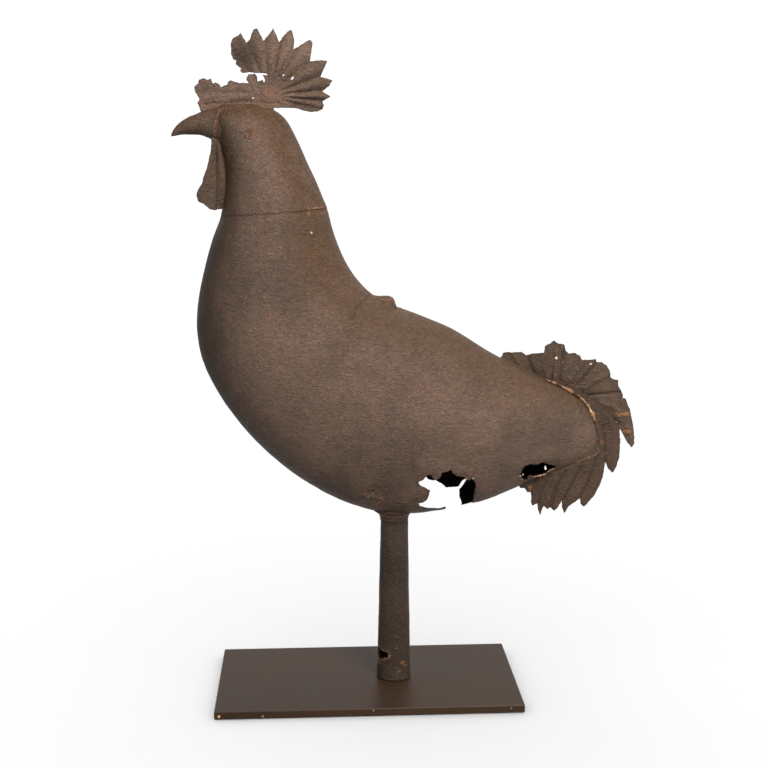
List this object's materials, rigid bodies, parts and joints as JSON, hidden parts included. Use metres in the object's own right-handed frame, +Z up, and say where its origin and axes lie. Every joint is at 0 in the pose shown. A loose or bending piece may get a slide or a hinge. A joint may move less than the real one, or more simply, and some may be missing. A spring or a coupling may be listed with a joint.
{
  "type": "weather vane",
  "caption": "Hollow sheet-iron rooster weather vane with fluted comb and tail, turning on a spindle that stands on a flat steel plate.",
  "frame": {"origin": "on the spindle's axis, at the underside of the felt the plate stands on", "axes": "+Z up along the spindle, -X the way the rooster faces at rest, -Y to the rooster's left"},
  "size_m": [0.572, 0.2, 0.8215],
  "materials": {
    "dark_paint": "satin",
    "felt": "matte",
    "bright_steel": "machined",
    "bronze": "machined",
    "rusted_iron": "rusted"
  },
  "bodies": {
    "stand": {"base_plate": "dark_paint", "felt_pad": "felt", "spindle": "bright_steel", "spindle_screw": "bright_steel"},
    "vane": {"socket_tube": "rusted_iron", "guide_bush": "bronze", "inner_tube": "rusted_iron", "top_bearing": "bronze", "tube_spacer": "bright_steel", "belly_collar": "rusted_iron", "body_left": "rusted_iron", "body_right": "rusted_iron", "head_left": "rusted_iron", "head_right": "rusted_iron", "neck_strip": "rusted_iron", "beak": "rusted_iron", "comb": "rusted_iron", "tail_left": "rusted_iron", "tail_right": "rusted_iron", "wattle_left": "rusted_iron", "wattle_right": "rusted_iron", "eye_left": "rusted_iron", "eye_right": "rusted_iron", "back_cap": "rusted_iron"}
  },
  "joints": [
    {"name": "vane_turn", "type": "hinge", "parent": "stand", "child": "vane", "pos_m": [0, 0, 0.2], "axis": [0, 0, 1], "continuous": true}
  ]
}
